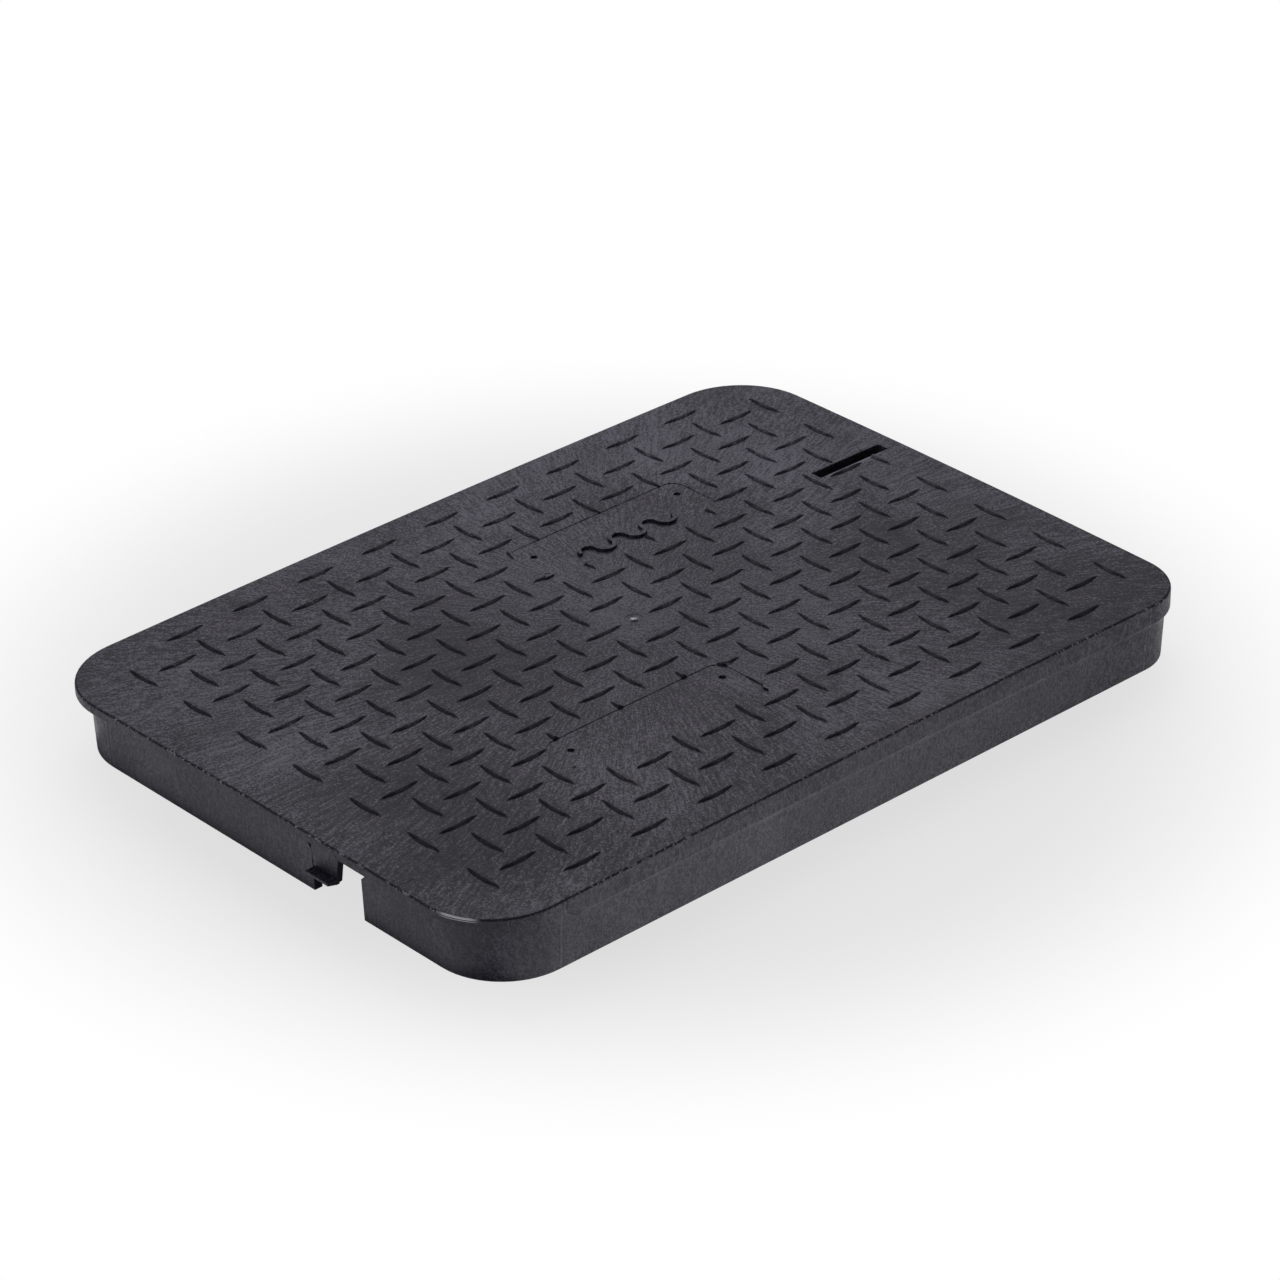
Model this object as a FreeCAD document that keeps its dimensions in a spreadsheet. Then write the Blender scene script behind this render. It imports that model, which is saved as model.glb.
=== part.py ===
# Cover for an in-ground water meter box: one black moulding with a raised tread, a drafted
# skirt, a ribbed underside and a spring finger that snaps under the box's edge.
# X runs along the long sides, Z is up, and the foot of the skirt stands on Z = 0.
import FreeCAD, Part
import math
import os
import Sketcher

os.makedirs("parts", exist_ok=True)
doc = FreeCAD.newDocument("cover")

SIZES = [
    ("cover_length", 432, "plate, edge to edge along X"),
    ("cover_width", 300, "plate, edge to edge along Y"),
    ("cover_height", 38, "foot of the skirt to the top face"),
    ("plate_thickness", 4.8, "plate, and the thin lip at the finger's end"),
    ("corner_radius", 38, "plan corners of the plate, all but one"),
    ("tight_radius", 29, "the corner at +X and -Y, which is tighter than the others"),
    ("edge_radius", 1.2, "rounding of the plate's top edge"),
    ("rim_depth", 10.4, "deep rim of the other three sides, from the top face"),
    ("rim_overhang", 2, "rim beyond the skirt on those sides"),
    ("bevel_height", 5, "slope that carries the rim back to the skirt"),
    ("bevel_angle", 30, "that slope, from the vertical"),
    ("lip_overhang", 7.5, "lip beyond the skirt at the finger's end"),
    ("skirt_wall", 4.2, "skirt at its foot"),
    ("skirt_draft", 2.5, "slope of the skirt's outer face"),
    ("cavity_draft", 1, "slope of its inner face"),
    ("rib_thickness", 3, "ribs under the plate"),
    ("rib_depth", 23, "ribs, down from the plate"),
    ("rib_spacing", 40, "ribs, centre to centre"),
    ("end_bay", 15, "least space between the last rib and the skirt"),
    ("slot_length", 44.5, "lifting slot"),
    ("slot_width", 6.4, "lifting slot"),
    ("slot_inset", 31.8, "slot's centre from the plate's end"),
    ("slot_offset", 43.4, "slot's centre from the middle"),
    ("slot_clearance", 2.5, "slot's end to the rib beside it"),
    ("finger_offset", 47.7, "finger's centre from the middle"),
    ("finger_width", 18, "finger at its root"),
    ("finger_tip_width", 14.5, "finger at its lower end"),
    ("finger_length", 14.7, "finger, down from the lip"),
    ("finger_thickness", 3.3, "finger"),
    ("finger_corner", 2, "finger's lower corners"),
    ("barb_reach", 5, "barb beyond the finger's face"),
    ("barb_width", 15, "barb along Y"),
    ("barb_drop", 10.8, "barb's flat top, down from the lip"),
    ("barb_edge", 1.2, "barb's outer edge"),
    ("notch_offset", 45.2, "middle of the notch in the skirt"),
    ("notch_width", 33, "notch that frees the finger"),
    ("notch_flare", 3, "notch's wider head, on either side"),
    ("notch_head", 11, "height of that head"),
    ("tread_pitch", 19.05, "step of the tread's chequer"),
    ("tread_shift", 5.25, "middle of the tread from the plate's middle"),
    ("tread_margin", 14, "least space from the tread's last bars to the plate's edge"),
    ("bar_length", 22, "tread bar"),
    ("bar_shoulder", 9, "middle part of the bar, at its full width"),
    ("bar_width", 3.8, "tread bar"),
    ("bar_height", 1, "tread bar above the top face"),
    ("panel_length", 106, "plain panel of a mould insert"),
    ("panel_width", 33, "plain panel of a mould insert"),
    ("panel_corner", 7, "panel's corners"),
    ("panel_depth", 0.3, "panel below the top face"),
    ("panel_offset", 51.5, "panel's middle from the tread's middle, along X"),
    ("panel_rise", 70, "panel's middle from the tread's middle, along Y"),
    ("pin_spacing", 90, "two pin marks in a panel"),
    ("pin_rise", 5.5, "pin marks from the panel's middle"),
    ("pin_radius", 1.7, "pin mark"),
    ("pin_depth", 1.2, "pin mark"),
    ("gate_radius", 4.5, "dimple where the plastic entered"),
    ("gate_depth", 0.5, "that dimple"),
    ("pip_radius", 1.8, "broken pip in the dimple"),
    ("pip_height", 0.9, "that pip"),
    ("wave_radius", 4.75, "middle line of a raised wave"),
    ("wave_stroke", 2, "width of the wave"),
    ("wave_height", 1.5, "wave above its panel"),
    ("wave_count", 3, "full waves in a row"),
    ("wave_rows", 2, "rows of waves"),
    ("wave_step", 18, "row to row"),
]

sheet = doc.addObject("Spreadsheet::Sheet", "Sizes")
for row, (alias, value, note) in enumerate(SIZES, 1):
    sheet.set("A%d" % row, alias)
    sheet.set("B%d" % row, str(value))
    sheet.set("C%d" % row, note)
    sheet.setAlias("B%d" % row, alias)
doc.recompute()

body = doc.addObject("PartDesign::Body", "Moulding")
PLANES = {feature.Role: feature for feature in body.Origin.OriginFeatures}
UPRIGHT = FreeCAD.Vector(0, 0, 1)

# The barb stands out past the lip, so the plate's middle lies half a barb off the part's middle.
PLATE_X = "Sizes.barb_reach / 2"
PLATE_UNDERSIDE = "Sizes.cover_height - Sizes.plate_thickness"
LIP_X = "Sizes.barb_reach / 2 - Sizes.cover_length / 2"
TREAD_X = "Sizes.barb_reach / 2 + Sizes.tread_shift"
PANEL_FLOOR = "Sizes.cover_height - Sizes.panel_depth"
HALF_LENGTH = "Sizes.cover_length / 2"
HALF_WIDTH = "Sizes.cover_width / 2"

# The draft draws the foot of the skirt in, and the wall's middle is where the ribs end.
FOOT_INSET = "(Sizes.cover_height - Sizes.plate_thickness) * tan(Sizes.skirt_draft)"
CAVITY_INSET = FOOT_INSET + " + Sizes.skirt_wall"
RIB_INSET = FOOT_INSET + " + Sizes.skirt_wall / 2"

# Rough sizes of a new outline, which its constraints then correct: a box's half length, half
# width and corner, then a circle's place and radius, and a polygon's reach.
ROUGH = (200, 140, 30)
ROUGH_PLACE = 10
ROUGH_RADIUS = 2
ROUGH_REACH = 20


def sketch_on(plane, name, across, along, normal):
    """Start a sketch on an origin plane, moved by three offsets in the plane's own axes."""
    sketch = body.newObject("Sketcher::SketchObject", name)
    sketch.AttachmentSupport = [(PLANES[plane], "")]
    sketch.MapMode = "FlatFace"
    sketch.setExpression(".AttachmentOffset.Base.x", across)
    sketch.setExpression(".AttachmentOffset.Base.y", along)
    sketch.setExpression(".AttachmentOffset.Base.z", normal)
    return sketch


def hold(sketch, constraint, size):
    """Add a constraint and tie it to a size of the sheet."""
    index = sketch.addConstraint(constraint)
    sketch.setExpression("Constraints[%d]" % index, size)


def draw_outline(sketch, left, right, side, radius, rounded=(0, 1, 2, 3), tight=None):
    """Draw a box of four edges, each a stated way from the origin, with the named corners round.

    Corner 1, at +X and -Y, takes a radius of its own where one is given.
    """
    half_length, half_width, rough_radius = ROUGH
    signs = [(-1, -1), (1, -1), (1, 1), (-1, 1)]
    ends = []
    for index, (sign_x, sign_y) in enumerate(signs):
        trim = rough_radius if index in rounded else 0
        corner = FreeCAD.Vector(sign_x * half_length, sign_y * half_width, 0)
        along_x = corner - FreeCAD.Vector(sign_x * trim, 0, 0)
        along_y = corner - FreeCAD.Vector(0, sign_y * trim, 0)
        ends.append((along_y, along_x) if index in (0, 2) else (along_x, along_y))
    for index in range(4):
        line = Part.LineSegment(ends[index][1], ends[(index + 1) % 4][0])
        sketch.addGeometry(line, False)
    for index, direction in enumerate(("Horizontal", "Vertical", "Horizontal", "Vertical")):
        sketch.addConstraint(Sketcher.Constraint(direction, index))
    arcs = {}
    for index, (sign_x, sign_y) in enumerate(signs):
        before = (index - 1) % 4
        if index not in rounded:
            sketch.addConstraint(Sketcher.Constraint("Coincident", before, 2, index, 1))
            continue
        middle_x = sign_x * (half_length - rough_radius)
        middle_y = sign_y * (half_width - rough_radius)
        circle = Part.Circle(FreeCAD.Vector(middle_x, middle_y, 0), UPRIGHT, rough_radius)
        start = math.pi + index * math.pi / 2
        arc = sketch.addGeometry(Part.ArcOfCircle(circle, start, start + math.pi / 2), False)
        sketch.addConstraint(Sketcher.Constraint("Tangent", before, 2, arc, 1))
        sketch.addConstraint(Sketcher.Constraint("Tangent", arc, 2, index, 1))
        arcs[index] = arc
    if tight:
        hold(sketch, Sketcher.Constraint("Radius", arcs.pop(1), rough_radius), tight)
    alike = list(arcs.values())
    for arc in alike[1:]:
        sketch.addConstraint(Sketcher.Constraint("Equal", alike[0], arc))
    if alike:
        hold(sketch, Sketcher.Constraint("Radius", alike[0], rough_radius), radius)
    hold(sketch, Sketcher.Constraint("DistanceX", 3, 1, -1, 1, half_length), left)
    hold(sketch, Sketcher.Constraint("DistanceX", -1, 1, 1, 1, half_length), right)
    hold(sketch, Sketcher.Constraint("DistanceY", 0, 1, -1, 1, half_width), side)
    hold(sketch, Sketcher.Constraint("DistanceY", -1, 1, 2, 1, half_width), side)


def pad(sketch, name, length, down=False, taper=None):
    feature = body.newObject("PartDesign::Pad", name)
    feature.Profile = sketch
    feature.setExpression("Length", length)
    feature.Reversed = down
    feature.Refine = False
    if taper:
        feature.setExpression("TaperAngle", taper)
    return feature


def pocket(sketch, name, length, flip=False, taper=None):
    feature = body.newObject("PartDesign::Pocket", name)
    feature.Profile = sketch
    feature.setExpression("Length", length)
    feature.Reversed = flip
    feature.Refine = False
    if taper:
        feature.setExpression("TaperAngle", taper)
    return feature


def line_up(feature, name, axis, count, step, second_axis=None, second_count=None, second_step=None):
    """Repeat a feature along an axis, and along a second one where it is named."""
    pattern = body.newObject("PartDesign::LinearPattern", name)
    pattern.Originals = [feature]
    pattern.Refine = False
    pattern.Direction = (PLANES[axis], [""])
    pattern.Mode = "Spacing"
    pattern.setExpression("Offset", step)
    pattern.setExpression("Occurrences", count)
    if second_axis:
        pattern.Direction2 = (PLANES[second_axis], [""])
        pattern.Mode2 = "Spacing"
        pattern.setExpression("Offset2", second_step)
        pattern.setExpression("Occurrences2", second_count)
    body.Tip = pattern


def draw_circle(sketch, across, along, radius):
    """Draw a circle, its middle two stated ways from the origin."""
    middle = FreeCAD.Vector(ROUGH_PLACE, ROUGH_PLACE, 0)
    index = sketch.addGeometry(Part.Circle(middle, UPRIGHT, ROUGH_RADIUS), False)
    hold(sketch, Sketcher.Constraint("Radius", index, ROUGH_RADIUS), radius)
    hold(sketch, Sketcher.Constraint("DistanceX", -1, 1, index, 3, ROUGH_PLACE), across)
    hold(sketch, Sketcher.Constraint("DistanceY", -1, 1, index, 3, ROUGH_PLACE), along)


def draw_polygon(sketch, points):
    """Draw a closed polygon whose points are each two stated ways from the origin."""
    count = len(points)
    rough = []
    for index in range(count):
        turn = 2 * math.pi * index / count
        rough.append(FreeCAD.Vector(ROUGH_REACH * math.cos(turn), ROUGH_REACH * math.sin(turn), 0))
    for index in range(count):
        sketch.addGeometry(Part.LineSegment(rough[index], rough[(index + 1) % count]), False)
    for index in range(count):
        sketch.addConstraint(Sketcher.Constraint("Coincident", index, 2, (index + 1) % count, 1))
    for index, (across, along) in enumerate(points):
        hold(sketch, Sketcher.Constraint("DistanceX", -1, 1, index, 1, rough[index].x), across)
        hold(sketch, Sketcher.Constraint("DistanceY", -1, 1, index, 1, rough[index].y), along)


def make_plate():
    """The flat plate, with its top edge rounded."""
    sketch = sketch_on("XY_Plane", "PlateOutline", PLATE_X, "0", PLATE_UNDERSIDE)
    radius = "Sizes.corner_radius"
    draw_outline(sketch, HALF_LENGTH, HALF_LENGTH, HALF_WIDTH, radius, tight="Sizes.tight_radius")
    plate = pad(sketch, "Plate", "Sizes.plate_thickness")
    doc.recompute()
    top = plate.Shape.BoundBox.ZMax
    names = []
    for index, edge in enumerate(plate.Shape.Edges, 1):
        if edge.BoundBox.ZMin > top - 0.001:
            names.append("Edge%d" % index)
    rounding = body.newObject("PartDesign::Fillet", "PlateEdge")
    rounding.Base = (plate, names)
    rounding.setExpression("Radius", "Sizes.edge_radius")


def make_skirt():
    """The drafted skirt, solid until the cavity is cut, and the deep rim round three sides of it."""
    skirt = sketch_on("XY_Plane", "SkirtOutline", PLATE_X, "0", PLATE_UNDERSIDE)
    left = HALF_LENGTH + " - Sizes.lip_overhang"
    right = HALF_LENGTH + " - Sizes.rim_overhang"
    side = HALF_WIDTH + " - Sizes.rim_overhang"
    radius = "Sizes.corner_radius - Sizes.rim_overhang"
    draw_outline(skirt, left, right, side, radius, tight="Sizes.tight_radius - Sizes.rim_overhang")
    pad(skirt, "Skirt", PLATE_UNDERSIDE, down=True, taper="-Sizes.skirt_draft")

    start = HALF_LENGTH + " - Sizes.corner_radius"
    rim = sketch_on("XY_Plane", "RimOutline", PLATE_X, "0", PLATE_UNDERSIDE)
    corners = {"radius": "Sizes.corner_radius", "rounded": (1, 2), "tight": "Sizes.tight_radius"}
    draw_outline(rim, start, HALF_LENGTH, HALF_WIDTH, **corners)
    pad(rim, "Rim", "Sizes.rim_depth - Sizes.plate_thickness", down=True)
    bevel = sketch_on("XY_Plane", "BevelOutline", PLATE_X, "0", "Sizes.cover_height - Sizes.rim_depth")
    draw_outline(bevel, start, HALF_LENGTH, HALF_WIDTH, **corners)
    pad(bevel, "Bevel", "Sizes.bevel_height", down=True, taper="-Sizes.bevel_angle")


def make_cavity():
    """The hollow inside the skirt, up to the plate."""
    sketch = sketch_on("XY_Plane", "CavityOutline", PLATE_X, "0", "0")
    left = HALF_LENGTH + " - Sizes.lip_overhang - (" + CAVITY_INSET + ")"
    right = HALF_LENGTH + " - Sizes.rim_overhang - (" + CAVITY_INSET + ")"
    side = HALF_WIDTH + " - Sizes.rim_overhang - (" + CAVITY_INSET + ")"
    inset = " - Sizes.rim_overhang - (" + CAVITY_INSET + ")"
    radius = "Sizes.corner_radius" + inset
    draw_outline(sketch, left, right, side, radius, tight="Sizes.tight_radius" + inset)
    pocket(sketch, "Cavity", PLATE_UNDERSIDE, flip=True, taper="-Sizes.cavity_draft")


# Ribs along Y are counted leftwards from the one that stands just clear of the lifting slot.
LAST_RIB = ("Sizes.cover_length / 2 - Sizes.slot_inset - Sizes.slot_length / 2"
            " - Sizes.slot_clearance - Sizes.rib_thickness / 2")
CROSS_SPAN = LAST_RIB + " + Sizes.cover_length / 2 - Sizes.lip_overhang - (" + CAVITY_INSET + ")"
CROSS_COUNT = "floor((" + CROSS_SPAN + " - Sizes.end_bay) / Sizes.rib_spacing) + 1"
FIRST_RIB = LAST_RIB + " - (" + CROSS_COUNT + " - 1) * Sizes.rib_spacing"
LONG_SPAN = HALF_WIDTH + " - Sizes.rim_overhang - (" + CAVITY_INSET + ")"
LONG_COUNT = "2 * floor((" + LONG_SPAN + " - Sizes.end_bay) / Sizes.rib_spacing + 0.5)"


def make_ribs():
    """A grid of ribs under the plate, each one ending inside the skirt's wall."""
    thin = "Sizes.rib_thickness / 2"
    cross = sketch_on("XY_Plane", "CrossRibOutline", PLATE_X + " + " + FIRST_RIB, "0", PLATE_UNDERSIDE)
    draw_outline(cross, thin, thin, HALF_WIDTH + " - Sizes.rim_overhang - (" + RIB_INSET + ")", "0", ())
    cross_rib = pad(cross, "CrossRib", "Sizes.rib_depth", down=True)
    line_up(cross_rib, "CrossRibs", "X_Axis", CROSS_COUNT, "Sizes.rib_spacing")

    first_long = "-(" + LONG_COUNT + " - 1) / 2 * Sizes.rib_spacing"
    left = HALF_LENGTH + " - Sizes.lip_overhang - (" + RIB_INSET + ")"
    right = HALF_LENGTH + " - Sizes.rim_overhang - (" + RIB_INSET + ")"
    long = sketch_on("XY_Plane", "LongRibOutline", PLATE_X, first_long, PLATE_UNDERSIDE)
    draw_outline(long, left, right, thin, "0", ())
    long_rib = pad(long, "LongRib", "Sizes.rib_depth", down=True)
    line_up(long_rib, "LongRibs", "Y_Axis", LONG_COUNT, "Sizes.rib_spacing")


def make_notch():
    """The notch in the skirt behind the finger, cut inwards as far as the first rib."""
    middle = "-Sizes.notch_offset"
    sketch = sketch_on("YZ_Plane", "NotchOutline", middle, PLATE_UNDERSIDE, LIP_X)
    narrow = "Sizes.notch_width / 2"
    wide = "Sizes.notch_width / 2 + Sizes.notch_flare"
    below = "-Sizes.cover_height"
    draw_polygon(sketch, [
        (wide, "0"),
        ("-(" + wide + ")", "0"),
        ("-(" + wide + ")", "Sizes.notch_flare - Sizes.notch_head"),
        ("-(" + narrow + ")", "-Sizes.notch_head"),
        ("-(" + narrow + ")", below),
        (narrow, below),
        (narrow, "-Sizes.notch_head"),
        (wide, "Sizes.notch_flare - Sizes.notch_head"),
    ])
    depth = FIRST_RIB + " - Sizes.rib_thickness / 2 + Sizes.cover_length / 2"
    pocket(sketch, "Notch", depth, flip=True)


def make_finger():
    """The spring finger that hangs from the lip's edge, and its barb."""
    front = sketch_on("YZ_Plane", "FingerOutline", "-Sizes.finger_offset", PLATE_UNDERSIDE, LIP_X)
    root = "Sizes.finger_width / 2"
    tip = "Sizes.finger_tip_width / 2"
    flat = "Sizes.finger_tip_width / 2 - Sizes.finger_corner"
    draw_polygon(front, [
        (root, "Sizes.plate_thickness / 2"),
        ("-(" + root + ")", "Sizes.plate_thickness / 2"),
        ("-(" + root + ")", "0"),
        ("-(" + tip + ")", "Sizes.finger_corner - Sizes.finger_length"),
        ("-(" + flat + ")", "-Sizes.finger_length"),
        (flat, "-Sizes.finger_length"),
        (tip, "Sizes.finger_corner - Sizes.finger_length"),
        (root, "0"),
    ])
    pad(front, "Finger", "Sizes.finger_thickness")

    side = sketch_on("XZ_Plane", "BarbOutline", LIP_X, PLATE_UNDERSIDE, "Sizes.finger_offset")
    draw_polygon(side, [
        ("Sizes.finger_thickness / 2", "-Sizes.barb_drop"),
        ("-Sizes.barb_reach", "-Sizes.barb_drop"),
        ("-Sizes.barb_reach", "-Sizes.barb_drop - Sizes.barb_edge"),
        ("0", "-Sizes.finger_length + Sizes.barb_edge"),
        ("Sizes.finger_thickness / 2", "-Sizes.finger_length + Sizes.barb_edge"),
    ])
    barb = pad(side, "Barb", "Sizes.barb_width")
    barb.Midplane = True
    barb.Refine = True


def keep_clear(sketch, height):
    """A block over an outline of the body, which the tread's bars stop at."""
    block = doc.addObject("Part::Extrusion", sketch.Name + "Block")
    block.Base = sketch
    block.DirMode = "Normal"
    block.Solid = True
    block.setExpression("LengthFwd", height)
    return block


def make_slot():
    """The lifting slot, straight through the plate."""
    middle = PLATE_X + " + Sizes.cover_length / 2 - Sizes.slot_inset"
    sketch = sketch_on("XY_Plane", "SlotOutline", middle, "Sizes.slot_offset", PLATE_UNDERSIDE)
    half = "Sizes.slot_length / 2"
    draw_outline(sketch, half, half, "Sizes.slot_width / 2", "0", ())
    pocket(sketch, "Slot", "Sizes.plate_thickness", flip=True)
    return keep_clear(sketch, "Sizes.plate_thickness + Sizes.bar_height")


def make_panel(name, sign):
    """A plain panel where a mould insert sat, with the marks of its two pins."""
    across = TREAD_X + " + " + sign + "Sizes.panel_offset"
    along = sign + "Sizes.panel_rise"
    sketch = sketch_on("XY_Plane", name + "Outline", across, along, PANEL_FLOOR)
    half = "Sizes.panel_length / 2"
    draw_outline(sketch, half, half, "Sizes.panel_width / 2", "Sizes.panel_corner")
    pocket(sketch, name, "Sizes.panel_depth", flip=True)
    pins = sketch_on("XY_Plane", name + "PinOutline", across, along, PANEL_FLOOR)
    draw_circle(pins, "-Sizes.pin_spacing / 2", "Sizes.pin_rise", "Sizes.pin_radius")
    draw_circle(pins, "Sizes.pin_spacing / 2", "Sizes.pin_rise", "Sizes.pin_radius")
    pocket(pins, name + "Pins", "Sizes.pin_depth")
    return keep_clear(sketch, "Sizes.panel_depth + Sizes.bar_height")


def make_waves():
    """Rows of plain raised waves in the upper panel, each wave an arch up and an arch down."""
    across = TREAD_X + " + Sizes.panel_offset - 2 * (Sizes.wave_count - 1) * Sizes.wave_radius"
    along = "Sizes.panel_rise - (Sizes.wave_rows - 1) / 2 * Sizes.wave_step"
    sketch = sketch_on("XY_Plane", "WaveOutline", across, along, PANEL_FLOOR)
    radius = ROUGH_PLACE
    stroke = ROUGH_RADIUS
    for side, start in ((-1, 0), (1, math.pi)):
        for reach in (radius + stroke, radius - stroke):
            circle = Part.Circle(FreeCAD.Vector(side * radius, 0, 0), UPRIGHT, reach)
            sketch.addGeometry(Part.ArcOfCircle(circle, start, start + math.pi), False)
    for side in (-1, 1):
        middle = FreeCAD.Vector(side * 2 * radius, 0, 0)
        step = FreeCAD.Vector(stroke, 0, 0)
        sketch.addGeometry(Part.LineSegment(middle - step, middle + step), False)
    joins = ((4, 1, 0, 2), (4, 2, 1, 2), (0, 1, 3, 1), (1, 1, 2, 1), (5, 1, 3, 2), (5, 2, 2, 2))
    for first, first_end, second, second_end in joins:
        sketch.addConstraint(Sketcher.Constraint("Coincident", first, first_end, second, second_end))
    for arc, point in ((0, 1), (0, 2), (1, 1), (1, 2), (2, 2), (3, 2), (0, 3), (2, 3)):
        sketch.addConstraint(Sketcher.Constraint("PointOnObject", arc, point, -1))
    sketch.addConstraint(Sketcher.Constraint("Coincident", 0, 3, 1, 3))
    sketch.addConstraint(Sketcher.Constraint("Coincident", 2, 3, 3, 3))
    half = "Sizes.wave_stroke / 2"
    hold(sketch, Sketcher.Constraint("Radius", 0, radius + stroke), "Sizes.wave_radius + " + half)
    hold(sketch, Sketcher.Constraint("Radius", 1, radius - stroke), "Sizes.wave_radius - " + half)
    hold(sketch, Sketcher.Constraint("DistanceX", 0, 3, -1, 1, radius), "Sizes.wave_radius")
    hold(sketch, Sketcher.Constraint("DistanceX", -1, 1, 2, 3, radius), "Sizes.wave_radius")
    wave = pad(sketch, "Wave", "Sizes.wave_height")
    period = "4 * Sizes.wave_radius"
    rows = ("Y_Axis", "Sizes.wave_rows", "Sizes.wave_step")
    line_up(wave, "Waves", "X_Axis", "Sizes.wave_count", period, *rows)


def make_gate():
    """The dimple at the tread's middle where the plastic entered, with its broken pip."""
    dimple = sketch_on("XY_Plane", "GateOutline", TREAD_X, "0", "Sizes.cover_height")
    draw_circle(dimple, "0", "0", "Sizes.gate_radius")
    pocket(dimple, "Gate", "Sizes.gate_depth")
    pip = sketch_on("XY_Plane", "PipOutline", TREAD_X, "0", "Sizes.cover_height - Sizes.gate_depth")
    draw_circle(pip, "0", "0", "Sizes.pip_radius")
    pad(pip, "Pip", "Sizes.pip_height")


def make_bar():
    """One tread bar at the origin: long and slim, and pointed at both ends."""
    sketch = doc.addObject("Sketcher::SketchObject", "BarOutline")
    tip = "Sizes.bar_length / 2"
    shoulder = "Sizes.bar_shoulder / 2"
    flank = "Sizes.bar_width / 2"
    draw_polygon(sketch, [
        (tip, "0"),
        (shoulder, flank),
        ("-" + shoulder, flank),
        ("-" + tip, "0"),
        ("-" + shoulder, "-" + flank),
        (shoulder, "-" + flank),
    ])
    bar = doc.addObject("Part::Extrusion", "Bar")
    bar.Base = sketch
    bar.DirMode = "Normal"
    bar.Solid = True
    bar.setExpression("LengthFwd", "Sizes.bar_height")
    return bar


def make_tread(bar, blocks):
    """Bars on every step of a chequer, turned by turns, cut off where the blocks stand."""
    doc.recompute()
    pitch = sheet.tread_pitch
    last_column = math.floor((sheet.cover_length / 2 - sheet.tread_margin) / pitch)
    last_row = math.floor((sheet.cover_width / 2 - sheet.tread_margin) / pitch)
    middle = sheet.barb_reach / 2 + sheet.tread_shift
    bars = []
    for column in range(-last_column, last_column + 1):
        for row in range(-last_row, last_row + 1):
            crosswise = (column + row + last_column + last_row + 1) % 2 == 0
            beyond = abs(row) == last_row if crosswise else abs(column) == last_column
            if beyond or (column == 0 and row == 0):
                continue
            turn = FreeCAD.Rotation(90 if crosswise else 0, 0, 0)
            place = FreeCAD.Vector(middle + column * pitch, row * pitch, sheet.cover_height)
            bars.append(bar.Shape.transformed(FreeCAD.Placement(place, turn).toMatrix()))
    field = doc.addObject("Part::Feature", "BarField")
    field.Shape = Part.makeCompound(bars)
    clearances = doc.addObject("Part::Compound", "Clearances")
    clearances.Links = blocks
    tread = doc.addObject("Part::Cut", "Tread")
    tread.Base = field
    tread.Tool = clearances
    return tread


make_plate()
slot_block = make_slot()
upper_block = make_panel("UpperPanel", "")
lower_block = make_panel("LowerPanel", "-")
make_waves()
make_gate()
make_skirt()
make_cavity()
make_ribs()
make_notch()
make_finger()
cover = doc.addObject("Part::Fuse", "Cover")
cover.Label = "meter_box_cover"
cover.Base = body
cover.Tool = make_tread(make_bar(), [slot_block, upper_block, lower_block])
cover.Refine = False
doc.recompute()

for item in doc.Objects:
    if "Invalid" in item.State or "Error" in item.State:
        raise RuntimeError(item.Name + " did not build: " + ", ".join(item.State))
if cover.Shape.isNull() or not cover.Shape.isValid() or len(cover.Shape.Solids) != 1:
    raise RuntimeError("the cover isn't one sound solid")
cover.Shape.exportStep("parts/" + cover.Label + ".step")
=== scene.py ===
import math

import bmesh
import bpy
from mathutils import Matrix, Vector


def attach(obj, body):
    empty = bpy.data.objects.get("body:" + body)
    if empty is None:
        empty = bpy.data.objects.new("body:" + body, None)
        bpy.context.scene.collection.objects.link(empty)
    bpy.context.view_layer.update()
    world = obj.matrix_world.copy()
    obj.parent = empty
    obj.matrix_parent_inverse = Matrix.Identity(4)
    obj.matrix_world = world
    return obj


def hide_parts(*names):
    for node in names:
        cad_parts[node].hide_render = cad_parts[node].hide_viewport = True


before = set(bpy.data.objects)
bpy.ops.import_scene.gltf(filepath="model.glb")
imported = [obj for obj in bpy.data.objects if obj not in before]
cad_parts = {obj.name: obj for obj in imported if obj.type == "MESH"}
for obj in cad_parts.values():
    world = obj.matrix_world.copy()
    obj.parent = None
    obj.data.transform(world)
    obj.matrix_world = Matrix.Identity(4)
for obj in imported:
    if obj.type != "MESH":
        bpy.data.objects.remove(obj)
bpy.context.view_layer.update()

# The cover: plate, lip, skirt, ribs and snap finger, moulded in one shot of black polyethylene.
# Its walls follow the solid. The tread is a piece of its own further down, so the plate's top is
# closed where the bars stand, and the edges that the mould leaves soft are rounded.
NODE = "meter_box_cover"
HALF_LENGTH = 0.216
HALF_WIDTH = 0.150
TOP = 0.038
LIP_UNDERSIDE = 0.0332
WALL_DRAFT = math.tan(math.radians(2.5))

TREAD_X = 0.00775
PANEL_X = 0.0515
PANEL_Y = 0.070
PANEL_HALF = (0.053, 0.0165)
PANEL_SLACK = 0.0002

GATE = (TREAD_X, 0, TOP)
GATE_RADIUS = 0.0045
DIMPLE_FLOOR = 0.0365
DIMPLE_DEPTH = 0.00014
STUB_HEIGHT = 0.0005
STUB_WAVE = 0.0003

RIM_START = -0.1755
RIM_FADE = 0.016
RIM_FULL = 0.003
RIM_REACH = 0.0035
RIM_DEPTH = 0.0125

FINGER_X = -0.199
FINGER_Y = -0.0477
FINGER_REACH = 0.018

SHARP = 0.9
SAME_HEIGHT = 0.00002
SOFT_EDGE = 0.0006
WELD = 0.000002
ON_CUT = 0.000001

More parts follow.
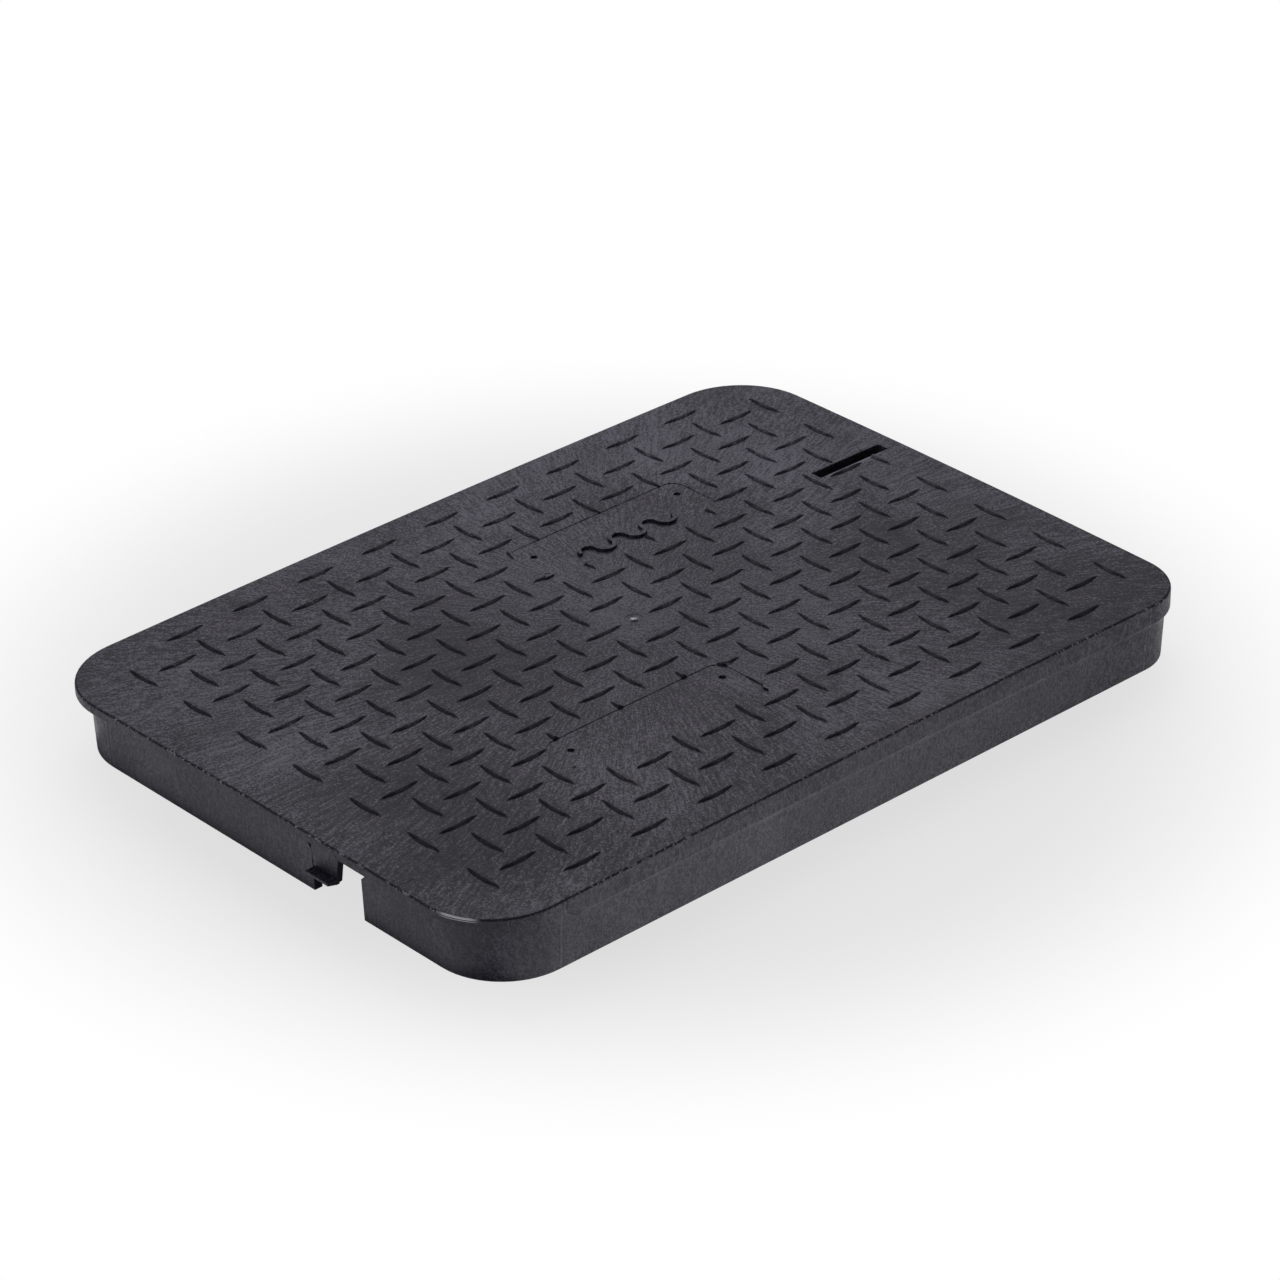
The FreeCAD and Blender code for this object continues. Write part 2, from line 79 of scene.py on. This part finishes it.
CROWN_STEP = 0.036
CROWN_SHIFT = 0.0011
END_DROP = 0.0018
SIDE_DROP = 0.0015


def new_piece(name, shape, smooth_angle=30):
    """Give a finished bmesh an object of its own, smooth up to an angle."""
    bmesh.ops.recalc_face_normals(shape, faces=shape.faces)
    mesh = bpy.data.meshes.new(name)
    shape.to_mesh(mesh)
    shape.free()
    for layer in ("custom_normal", "sharp_edge"):
        if layer in mesh.attributes:
            mesh.attributes.remove(mesh.attributes[layer])
    mesh.shade_smooth()
    mesh.set_sharp_from_angle(angle=math.radians(smooth_angle))
    mesh.materials.clear()
    piece = bpy.data.objects.new(name, mesh)
    bpy.context.scene.collection.objects.link(piece)
    return piece


def flatten_shading(piece):
    """Let the large faces keep their own shading beside a narrow rounded edge."""
    weigh = piece.modifiers.new("Weigh", "WEIGHTED_NORMAL")
    weigh.mode = "FACE_AREA"
    weigh.keep_sharp = True


def in_panel(point):
    """Whether a point lies over one of the two plain panels."""
    for sign in (-1, 1):
        across = abs(point.x - TREAD_X - sign * PANEL_X)
        along = abs(point.y - sign * PANEL_Y)
        if across < PANEL_HALF[0] - PANEL_SLACK and along < PANEL_HALF[1] - PANEL_SLACK:
            return True
    return False


def cut_through(shape, point, normal):
    """Cut edges into a shape along a plane, and leave its form as it is."""
    everything = shape.verts[:] + shape.edges[:] + shape.faces[:]
    bmesh.ops.bisect_plane(
        shape, geom=everything, dist=ON_CUT, plane_co=point, plane_no=normal)


def crown(shape):
    """Let the plate fall by 2 to 3 mm towards its ends and sides, and the foot stay flat."""
    for vert in shape.verts:
        end_fall = END_DROP * (vert.co.x / HALF_LENGTH) ** 2
        side_fall = SIDE_DROP * (vert.co.y / HALF_WIDTH) ** 2
        vert.co.z -= (end_fall + side_fall) * min(max(vert.co.z / TOP, 0), 1)


def fade_in_rim(shape):
    """Draw the near end of the deep rim up to the lip, where it starts beside the corner."""
    cut_through(shape, (RIM_START + RIM_FADE, 0, 0), (1, 0, 0))
    for vert in shape.verts:
        share = min((RIM_START + RIM_FADE - vert.co.x) / (RIM_FADE - RIM_FULL), 1)
        depth = HALF_WIDTH - abs(vert.co.y)
        rise = LIP_UNDERSIDE - vert.co.z
        past_start = vert.co.x > RIM_START - 0.00005
        if past_start and share > 0 and depth < RIM_REACH and 0 < rise < RIM_DEPTH:
            vert.co.z += share * rise
            if depth > 0.0005:
                vert.co.y += math.copysign(share * rise * WALL_DRAFT, vert.co.y)
    bmesh.ops.remove_doubles(shape, verts=shape.verts, dist=0.000005)
    bmesh.ops.dissolve_degenerate(shape, edges=shape.edges, dist=WELD)


shell = bmesh.new()
shell.from_mesh(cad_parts[NODE].data)
bmesh.ops.remove_doubles(shell, verts=shell.verts, dist=WELD)

# The solid's bars come off and the plate closes over them.
gate = Vector(GATE).xy
raised = []
for face in shell.faces:
    middle = face.calc_center_median()
    by_gate = (middle.xy - gate).length < GATE_RADIUS
    if middle.z > TOP + 0.00005 and not by_gate and not in_panel(middle):
        raised.append(face)
bmesh.ops.delete(shell, geom=raised, context="FACES")
open_edges = [edge for edge in shell.edges if edge.is_boundary]
bmesh.ops.holes_fill(shell, edges=open_edges, sides=0)
bmesh.ops.dissolve_limit(
    shell, angle_limit=math.radians(0.2), use_dissolve_boundaries=False,
    verts=shell.verts, edges=shell.edges, delimit=set())

# Plate, lip and foot get soft edges, and the finger finer ones.
soft_edges = []
fine_edges = []
for edge in shell.edges:
    if len(edge.link_faces) != 2 or edge.calc_face_angle_signed(0) < SHARP:
        continue
    low = min(vert.co.z for vert in edge.verts)
    high = max(vert.co.z for vert in edge.verts)
    middle = (edge.verts[0].co + edge.verts[1].co) / 2
    level_with_top = abs(low - TOP) < SAME_HEIGHT and abs(high - TOP) < SAME_HEIGHT
    off_lip = abs(low - LIP_UNDERSIDE) + abs(high - LIP_UNDERSIDE)
    under_lip = middle.x < RIM_START and off_lip < 2 * SAME_HEIGHT
    by_finger = middle.x < FINGER_X and abs(middle.y - FINGER_Y) < FINGER_REACH
    if (level_with_top and not in_panel(middle)) or high < SAME_HEIGHT or under_lip:
        soft_edges.append(edge)
    elif by_finger and middle.z < LIP_UNDERSIDE - 0.0003:
        fine_edges.append(edge)
for edges, offset in ((soft_edges, SOFT_EDGE), (fine_edges, SOFT_EDGE / 2)):
    edges = [edge for edge in edges if edge.is_valid]
    bmesh.ops.bevel(
        shell, geom=edges, offset=offset, offset_type="OFFSET", segments=3, profile=0.5,
        affect="EDGES", material=-1, clamp_overlap=True)

# The gate's stub is torn off unevenly, in a dimple that has all but filled.
for vert in shell.verts:
    if (vert.co.xy - gate).length < GATE_RADIUS + 0.0001:
        if vert.co.z > TOP + 0.0001:
            around = math.atan2(vert.co.y, vert.co.x - gate.x)
            vert.co.z = TOP + STUB_HEIGHT + STUB_WAVE * math.sin(7.0 * around)
        elif DIMPLE_FLOOR < vert.co.z < TOP - 0.0002:
            vert.co.z = TOP - DIMPLE_DEPTH

# Cuts both ways let the plate bend.
for axis, reach in ((0, HALF_LENGTH), (1, HALF_WIDTH)):
    steps = int(reach / CROWN_STEP)
    for step in range(-steps, steps + 1):
        point = [0, 0, 0]
        normal = [0, 0, 0]
        point[axis] = step * CROWN_STEP + CROWN_SHIFT
        normal[axis] = 1
        cut_through(shell, point, normal)
fade_in_rim(shell)
crown(shell)
moulding = new_piece("moulding", shell)
flatten_shading(moulding)
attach(moulding, "root")
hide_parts(NODE)


# The plastic: polyethylene pigmented near black, with a satin skin. The melt flowed out from the
# gate and left paler clouds, wisps and flow lines. Handling has scratched the plate and brushed the
# long wall, and pale specks line its edges. Painted highlights and painted shade stand in for light
# on one corner, the gate, seams, foot, bar sides, front margin, left end, slot and long wall.
SLOT_MIDDLE = (0.1867, 0.0434)
GATE_HIGHLIGHT = (GATE[0] - 0.0008, GATE[1] + 0.0006, GATE[2])
HIGHLIGHT_CORNER = (-0.2105, -0.1290, 0.0345)
FRONT_RIDGES = (-0.1695, 0.1871)
FRONT_GUTTERS = (-0.1680, 0.1885)
END_RIDGE = 0.1135
END_GUTTER = 0.1120
PATCH_Z = 0.037
HAZY_PATCHES = (
    (0.108, 0.133, 0.065, 1.0),
    (0.156, 0.101, 0.065, 1.0),
    (0.166, 0.063, 0.045, 0.8),
    (0.030, 0.135, 0.050, 1.0),
    (0.005, 0.010, 0.050, 1.0),
    (-0.127, 0.080, 0.065, 0.7),
    (-0.188, 0.019, 0.050, 0.8),
    (0.066, -0.129, 0.034, 0.7),
    (-0.005, -0.120, 0.030, 0.6))
DULL_PATCHES = (
    (0.166, -0.125, 0.060, 1.0),
    (0.161, -0.042, 0.070, 1.0),
    (-0.090, 0.020, 0.055, 1.0),
    (-0.163, -0.038, 0.055, 1.0),
    (-0.176, -0.104, 0.050, 0.9))
PIGMENT = (0.0100, 0.0088, 0.0195, 1)
PALE_SKIN = (0.096, 0.0905, 0.1260, 1)
TORN_SKIN = (0.42, 0.41, 0.46, 1)
HIGHLIGHT_WHITE = (0.95, 0.95, 0.97, 1)
PAINTED_SLOT_SHADE = (0.001, 0.001, 0.001, 1)


class Shade:
    """A socket of a material: sums on it add Math nodes, and node() adds any other kind."""

    def __init__(self, tree, socket=None):
        self.tree = tree
        self.socket = socket

    def node(self, kind, settings, inputs, output=0, every=False):
        node = self.tree.nodes.new(kind)
        for name, value in settings.items():
            setattr(node, name, value)
        for name, value in inputs.items():
            if isinstance(value, Shade):
                self.tree.links.new(value.socket, node.inputs[name])
            else:
                node.inputs[name].default_value = value
        if every:
            return {socket.name: Shade(self.tree, socket) for socket in node.outputs}
        return None if output is None else Shade(self.tree, node.outputs[output])

    def math(self, operation, *values):
        return self.node("ShaderNodeMath", {"operation": operation}, dict(enumerate(values)))

    def __add__(self, other):
        return self.math("ADD", self, other)

    def __sub__(self, other):
        return self.math("SUBTRACT", self, other)

    def __rsub__(self, other):
        return self.math("SUBTRACT", other, self)

    def __mul__(self, other):
        return self.math("MULTIPLY", self, other)

    __radd__ = __add__
    __rmul__ = __mul__

    def clamped(self):
        return self.node("ShaderNodeClamp", {}, {"Value": self})


def new_material(name):
    """An empty material, and a Shade to build it from."""
    material = bpy.data.materials.new(name)
    material.use_nodes = True
    material.node_tree.nodes.clear()
    return material, Shade(material.node_tree)


def noise(place, scale, detail, roughness=0.5, distortion=0.0):
    """Cloudy noise at a scale in features per metre."""
    inputs = {
        "Vector": place, "Scale": scale, "Detail": detail, "Roughness": roughness,
        "Distortion": distortion}
    return place.node("ShaderNodeTexNoise", {}, inputs, "Fac")


def between(value, low, high):
    """0 below low, 1 above high, and smooth in between."""
    inputs = {"Value": value, "From Min": low, "From Max": high}
    return value.node("ShaderNodeMapRange", {"interpolation_type": "SMOOTHSTEP"}, inputs)


def scratches(place, turn, spacing, low, high):
    """Fine straight marks at an angle in plan, in broken patches."""
    inputs = {"Vector": place, "Rotation": (0, 0, math.radians(turn)), "Scale": (0.03, 1, 1)}
    along = place.node("ShaderNodeMapping", {}, inputs)
    return between(noise(along, spacing, 2), low, high)


def vector(kind, *values, scale=1.0):
    """A Vector Math node on vectors."""
    inputs = dict(enumerate(values))
    if kind == "SCALE":
        inputs["Scale"] = scale
    return values[0].node("ShaderNodeVectorMath", {"operation": kind}, inputs)


def distance(place, point):
    """How far each point lies from a given one."""
    return place.node(
        "ShaderNodeVectorMath", {"operation": "DISTANCE"}, {0: place, 1: point}, "Value")


def patch(place, x, y, radius):
    """A soft-edged round patch of the top face."""
    return 1 - between(distance(place, (x, y, PATCH_Z)), 0.25 * radius, radius)


def line(along, position, half=0.0008):
    """A soft line at a position, that reaches as far as half to each side."""
    away = along.math("ABSOLUTE", along - position)
    return 1 - between(away, half / 4, half)


def mixed(factor, first, second):
    """The first colour, turning into the second as the factor goes from 0 to 1."""
    inputs = {0: factor, 6: first, 7: second}
    return factor.node("ShaderNodeMix", {"data_type": "RGBA"}, inputs, 2)


plastic, shade = new_material("cover_plastic")
place = shade.node("ShaderNodeTexCoord", {}, {}, "Object")
axes = shade.node("ShaderNodeSeparateXYZ", {}, {"Vector": place}, None, True)
facing = shade.node("ShaderNodeNewGeometry", {}, {}, "Normal")
upward = shade.node("ShaderNodeSeparateXYZ", {}, {"Vector": facing}, "Z")

# The melt: clouds and wisps, lines that run out from the gate, and a fine grain.
stir = shade.node("ShaderNodeTexNoise", {}, {"Vector": place, "Scale": 9, "Detail": 2}, "Color")
drift = vector("SCALE", vector("SUBTRACT", stir, (0.5, 0.5, 0.5)), scale=0.09)
stirred = vector("ADD", place, drift)
from_gate = vector("MULTIPLY", vector("SUBTRACT", place, GATE), (1, 1, 0.3))
ray = vector("SCALE", vector("NORMALIZE", from_gate), scale=100)
flow = noise(vector("ADD", ray, vector("SCALE", stirred, scale=110)), 1, 3, 0.85)
clouds = between(noise(stirred, 16, 4, 0.6), 0.36, 0.68)
wisps = between(noise(stirred, 46, 5, 0.62, 1.5), 0.52, 0.74)
fine = noise(place, 850, 2, 0.9)
hazy = sum(weight * patch(stirred, x, y, radius) for x, y, radius, weight in HAZY_PATCHES)
dull = sum(weight * patch(stirred, x, y, radius) for x, y, radius, weight in DULL_PATCHES)

# Scratches in two directions.
marks = scratches(place, 38, 900, 0.60, 0.74) * between(noise(place, 30, 2), 0.42, 0.6)
cross_marks = scratches(place, -24, 1300, 0.63, 0.76) * between(noise(place, 24, 2), 0.5, 0.66)

# Where the skin is: on a wall, a rounded edge, the side of a bar.
wall = 1 - between(upward, 0.35, 0.75)
rounded = between(upward, 0.10, 0.35) * (1 - between(upward, 0.80, 0.97))
# The sides of the bars, which the colour darkens as painted shade.
shaded_flank = (1 - between(upward, 0.82, 0.97)) * (1 - wall)
front_wall = wall * between(0 - axes["Y"], 0.1400, 0.1450)
end_wall = wall * between(0 - axes["X"], 0.1950, 0.2020)
front = between(0 - axes["Y"], 0.1455, 0.1462)
left_end = between(0 - axes["X"], 0.2000, 0.2020)


def seams(front_places, end_place):
    """Lines down the front and the left end, where the mould's parts met."""
    first, second = front_places
    on_front = line(axes["X"], first) + line(axes["X"], second)
    return front * on_front + left_end * line(axes["Y"], end_place)


# Besides their relief, the seams' ridges carry a painted highlight and their grooves painted shade.
lit_ridges = seams(FRONT_RIDGES, END_RIDGE)
shaded_gutters = seams(FRONT_GUTTERS, END_GUTTER)

# Pale specks along the plate's rounded edge, and painted shade in a band along its front margin.
beyond_x = axes["X"].math("ABSOLUTE", axes["X"] - 0.0025) - HALF_LENGTH
beyond_y = axes["Y"].math("ABSOLUTE", axes["Y"]) - HALF_WIDTH
border = between(axes["X"].math("MAXIMUM", beyond_x, beyond_y), -0.0022, -0.0014)
edge_specks = (
    rounded * border
    * between(noise(place, 800, 2), 0.52, 0.62) * between(noise(place, 40, 2), 0.44, 0.56))
shaded_margin = (
    between(0 - axes["Y"], 0.1405, 0.1470) * (1 - wall)
    * between(noise(place, 18, 2), 0.42, 0.55))

# The gate's torn stub, with a painted highlight beside it, and a painted highlight along one
# rounded corner.
pip = 1 - between(distance(place, GATE), 0.0016, 0.0021)
torn = pip * between(noise(place, 1400, 2, 0.8), 0.42, 0.52)
gate_highlight = 1 - between(distance(place, GATE_HIGHLIGHT), 0.0008, 0.0012)
at_corner = 1 - between(distance(place, HIGHLIGHT_CORNER), 0.005, 0.011)
corner_highlight = (at_corner * (rounded + 0.8 * wall * line(axes["Z"], 0.0337, 0.0003))).clamped()

# The lifting slot: its near edge is scraped pale, and its inner walls are painted near black as
# shade.
slot_edge = line(axes["Y"], 0.0396, 0.0011) * line(axes["X"], SLOT_MIDDLE[0], 0.0226)
shaded_slot = line(axes["Y"], SLOT_MIDDLE[1], 0.0060) * line(axes["X"], SLOT_MIDDLE[0], 0.0300)
shaded_slot = shaded_slot * (1 - between(axes["Z"], 0.0345, 0.0368))

# The front wall's brush marks, a painted sheen that is lighter in its middle and darker towards its
# right end, and a painted highlight along the foot of the walls.
strokes = noise(vector("MULTIPLY", stirred, (1, 1, 0.4)), 1500, 2, 0.8)
brushed = (
    front_wall * (between(strokes, 0.50, 0.62) - 0.3)
    * between(noise(place, 34, 2), 0.34, 0.60))
painted_wall_sheen = front_wall * (
    0.16 * line(axes["X"], -0.085, 0.10) - 0.12 * between(axes["X"], 0.10, 0.20))
foot_highlight = wall * line(axes["Z"], 0, 0.0014)

# The left end wall is painted a little darker, as shade.
pale = (
    0.02 + 0.34 * clouds + 0.26 * wisps
    + (1 - wall) * (hazy * (0.34 + 0.55 * wisps) - 0.50 * dull)
    + 0.18 * (marks + cross_marks)
    + (1 - 0.7 * end_wall) * (5.2 * (fine - 0.5) + 4.0 * (flow - 0.5))
    + 0.5 * lit_ridges - 0.4 * shaded_gutters + 1.4 * edge_specks - 0.3 * shaded_margin - 0.8 * shaded_flank
    + 0.7 * slot_edge + 0.4 * foot_highlight + 0.8 * brushed + painted_wall_sheen - 0.12 * end_wall).clamped()
tint = mixed(pale, PIGMENT, PALE_SKIN)
tint = mixed((torn + 0.9 * edge_specks + 0.4 * slot_edge).clamped(), tint, TORN_SKIN)
# Near-white painted highlights on the rounded corner and beside the gate's stub.
tint = mixed((corner_highlight + gate_highlight).clamped(), tint, HIGHLIGHT_WHITE)
tint = mixed(shaded_slot, tint, PAINTED_SLOT_SHADE)
gloss = (
    0.59 - 0.06 * clouds - 0.04 * (hazy - dull) - 0.08 * marks
    - 0.5 * (flow - 0.5) - 0.6 * (fine - 0.5)
    - 0.10 * wall + 0.1 * shaded_flank - 0.25 * at_corner * rounded - 0.3 * pip
    - 0.25 * brushed + shaded_slot).clamped()
grain = noise(place, 2600, 2) * 0.4 + brushed + fine + 0.8 * flow + 0.8 * marks + 0.6 * cross_marks
relief = shade.node(
    "ShaderNodeBump", {},
    {"Strength": 0.4, "Distance": 0.0003, "Height": grain + 1.4 * lit_ridges - 0.8 * shaded_gutters})
surface = shade.node(
    "ShaderNodeBsdfPrincipled", {},
    {"Base Color": tint, "Roughness": gloss, "Normal": relief, "IOR": 1.5})
shade.node("ShaderNodeOutputMaterial", {}, {"Surface": surface}, None)
moulding.data.materials.append(plastic)


# The tread: 278 bars on a chequer, turned by turns, moulded in one with the plate. Each bar is a
# slim lens in plan with a soft crown, and the bars that meet a panel or the slot stop there.
PITCH = 0.01905
COLUMNS = 10
ROWS = 7
BAR_LENGTH = 0.022
BAR_WIDTH = 0.0042
BAR_HEIGHT = 0.00118
BAR_ROOT = 0.0005
BAR_SHOULDER = 0.6
PANEL_CORNER = 0.007
SLOT_HALF = (0.02225, 0.0032)
SLOT_ROOM = (0.0006, 0.0008)
CUT_REACH = 0.003

bar = bmesh.new()
bmesh.ops.create_grid(bar, x_segments=8, y_segments=4, size=1)
for vert in bar.verts:
    along, across = vert.co.x, vert.co.y
    swell = 1 - along ** 2
    vert.co.x = along * BAR_LENGTH / 2
    reach = across if abs(across) != 0.5 else BAR_SHOULDER * across
    vert.co.y = reach * swell * BAR_WIDTH / 2
    vert.co.z = BAR_HEIGHT * (1 - abs(reach) ** 1.4) * (1 - along ** 4)
bmesh.ops.remove_doubles(bar, verts=bar.verts, dist=0.00002)
outline = [edge for edge in bar.edges if edge.is_boundary]
root = bmesh.ops.extrude_edge_only(bar, edges=outline)
lower = [item for item in root["geom"] if isinstance(item, bmesh.types.BMVert)]
bmesh.ops.translate(bar, verts=lower, vec=(0, 0, -BAR_ROOT))
outline = [edge for edge in bar.edges if edge.is_boundary]
bmesh.ops.edgeloop_fill(bar, edges=outline)
bmesh.ops.recalc_face_normals(bar, faces=bar.faces)
bar_mesh = bpy.data.meshes.new("bar")
bar.to_mesh(bar_mesh)
bar.free()

field = bmesh.new()
for column in range(-COLUMNS, COLUMNS + 1):
    for row in range(-ROWS, ROWS + 1):
        crosswise = (column + row) % 2 == 0
        beyond = abs(row) == ROWS if crosswise else abs(column) == COLUMNS
        at_gate = column == 0 and row == 0
        if beyond or at_gate:
            continue
        before = len(field.verts)
        field.from_mesh(bar_mesh)
        field.verts.ensure_lookup_table()
        turn = Matrix.Rotation(math.pi / 2 if crosswise else 0, 4, "Z")
        shift = Matrix.Translation((TREAD_X + column * PITCH, row * PITCH, TOP))
        bmesh.ops.transform(field, matrix=shift @ turn, verts=field.verts[before:])
tread = new_piece("tread", field, 50)


def cut_away(piece, middle, half, radius=0):
    """Cut a block out of a piece, with round corners if it has a radius."""
    block = bmesh.new()
    bmesh.ops.create_cube(block, size=2)
    bmesh.ops.scale(block, vec=(half[0], half[1], CUT_REACH), verts=block.verts)
    bmesh.ops.translate(block, vec=(middle[0], middle[1], TOP), verts=block.verts)
    if radius:
        upright = [
            edge for edge in block.edges
            if abs(edge.verts[0].co.z - edge.verts[1].co.z) > 0.001]
        bmesh.ops.bevel(
            block, geom=upright, offset=radius, offset_type="OFFSET", segments=8, profile=0.5,
            affect="EDGES", material=-1)
    cutter = new_piece("cutter", block)
    cut = piece.modifiers.new("Cut", "BOOLEAN")
    cut.operation = "DIFFERENCE"
    cut.solver = "EXACT"
    cut.object = cutter
    shapes = bpy.context.evaluated_depsgraph_get()
    piece.data = bpy.data.meshes.new_from_object(piece.evaluated_get(shapes))
    piece.modifiers.clear()
    bpy.data.objects.remove(cutter)


for sign in (-1, 1):
    cut_away(tread, (TREAD_X + sign * PANEL_X, sign * PANEL_Y), PANEL_HALF, PANEL_CORNER)
cut_away(tread, SLOT_MIDDLE, (SLOT_HALF[0] + SLOT_ROOM[0], SLOT_HALF[1] + SLOT_ROOM[1]))
field = bmesh.new()
field.from_mesh(tread.data)
crown(field)
field.to_mesh(tread.data)
field.free()
tread.data.materials.clear()
tread.data.materials.append(plastic)
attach(tread, "root")
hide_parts(NODE)


# The studio: a matt floor that shows white to the camera and in reflections and keeps the cover's
# shadow, one broad soft light overhead from behind, a small weaker one from the finger's end, a
# dim even room, and the camera at the photograph's angle.
FLOOR_HALF = 3
COOL_WHITE = (0.955, 0.93, 1.0)
SLOT_SHADE = (0.045, 0.080)

floor_shape = bmesh.new()
bmesh.ops.create_grid(floor_shape, x_segments=1, y_segments=1, size=FLOOR_HALF)
floor = new_piece("floor", floor_shape)
pale_floor, shade = new_material("pale_floor")
spot = shade.node("ShaderNodeTexCoord", {}, {}, "Object")
sides = shade.node("ShaderNodeSeparateXYZ", {}, {"Vector": spot}, None, True)
reach = shade.node("ShaderNodeVectorMath", {"operation": "LENGTH"}, {0: spot}, "Value")
rays = shade.node("ShaderNodeLightPath", {}, {}, None, True)
matte = shade.node("ShaderNodeBsdfDiffuse", {}, {"Color": (0.86, 0.86, 0.86, 1)})
white = shade.node("ShaderNodeEmission", {}, {"Color": (1, 1, 1, 1), "Strength": 1.0})
cool = shade.node("ShaderNodeEmission", {}, {"Color": (0.98, 0.965, 1, 1), "Strength": 1.2})

# Reflections see it from just inside the cover's outline outwards, less so at the two ends.
across = sides["X"].math("ABSOLUTE", sides["X"]) - HALF_LENGTH
along = sides["Y"].math("ABSOLUTE", sides["Y"]) - HALF_WIDTH
beyond = across.math("MAXIMUM", across, along)
clear = (
    between(beyond, -0.014, -0.002)
    * (1 - 0.34 * between(0 - sides["X"], 0.185, 0.220))
    * (1 - 0.2 * between(sides["X"], 0.02, 0.20))
    * (0.82 + 0.18 * line(sides["X"], -0.085, 0.14)))

# The camera sees it white, but not through the lifting slot.
outside = between(beyond, -0.004, 0)
off_slot = between(distance(spot, (*SLOT_MIDDLE, 0)), *SLOT_SHADE)
open_floor = outside.math("MAXIMUM", outside, off_slot)
blank = rays["Is Camera Ray"] * (0.7 + 0.3 * between(reach, 0.20, 0.36)) * open_floor
lit = shade.node("ShaderNodeMixShader", {}, {0: rays["Is Glossy Ray"] * clear, 1: matte, 2: cool})
ground = shade.node("ShaderNodeMixShader", {}, {0: blank, 1: lit, 2: white})
shade.node("ShaderNodeOutputMaterial", {}, {"Surface": ground}, None)
floor.data.materials.append(pale_floor)

world = bpy.data.worlds.new("studio")
bpy.context.scene.world = world
world.use_nodes = True
world.node_tree.nodes.clear()
shade = Shade(world.node_tree)
seen = shade.node("ShaderNodeLightPath", {}, {}, "Is Camera Ray")
way = shade.node("ShaderNodeTexCoord", {}, {}, "Generated")
behind = shade.node(
    "ShaderNodeVectorMath", {"operation": "DOT_PRODUCT"}, {0: way, 1: (0.66, 0.73, -0.15)}, "Value")
level = 0.10 + 0.22 * between(behind, 0.1, 1.0)
room = shade.node("ShaderNodeBackground", {}, {"Color": (*COOL_WHITE, 1), "Strength": level})
backdrop = shade.node("ShaderNodeBackground", {}, {"Color": (1, 1, 1, 1), "Strength": 1.0})
view = shade.node("ShaderNodeMixShader", {}, {0: seen, 1: room, 2: backdrop})
shade.node("ShaderNodeOutputWorld", {}, {"Surface": view}, None)


def soft_light(name, place, size, power):
    """A square area light aimed at the cover."""
    lamp = bpy.data.lights.new(name, "AREA")
    lamp.size = size
    lamp.energy = power
    lamp.color = COOL_WHITE
    light = bpy.data.objects.new(name, lamp)
    light.location = place
    light.rotation_euler = Vector(place).to_track_quat("Z", "Y").to_euler()
    bpy.context.scene.collection.objects.link(light)


soft_light("behind", (0.62, 0.72, 1.08), 1.2, 7.3)
soft_light("side", (-1.7, 0.1, 0.85), 0.4, 3.4)

CAMERA_PLACE = (-1.38103, -1.53338, 1.21059)
AZIMUTH = math.radians(-42.2327)
ELEVATION = math.radians(29.7721)
ROLL = math.radians(-0.7882)
LENS = 148.45
SENSOR = 36
back = Vector((
    math.sin(AZIMUTH) * math.cos(ELEVATION),
    -math.cos(AZIMUTH) * math.cos(ELEVATION),
    math.sin(ELEVATION)))
right = Vector((math.cos(AZIMUTH), math.sin(AZIMUTH), 0))
aim = Matrix((right, back.cross(right), back)).transposed().to_4x4()
lens_data = bpy.data.cameras.new("camera")
lens_data.lens = LENS
lens_data.sensor_width = SENSOR
camera = bpy.data.objects.new("camera", lens_data)
camera.matrix_world = Matrix.Translation(CAMERA_PLACE) @ aim @ Matrix.Rotation(ROLL, 4, "Z")
bpy.context.scene.collection.objects.link(camera)
bpy.context.scene.camera = camera
bpy.context.scene.view_settings.view_transform = "Standard"
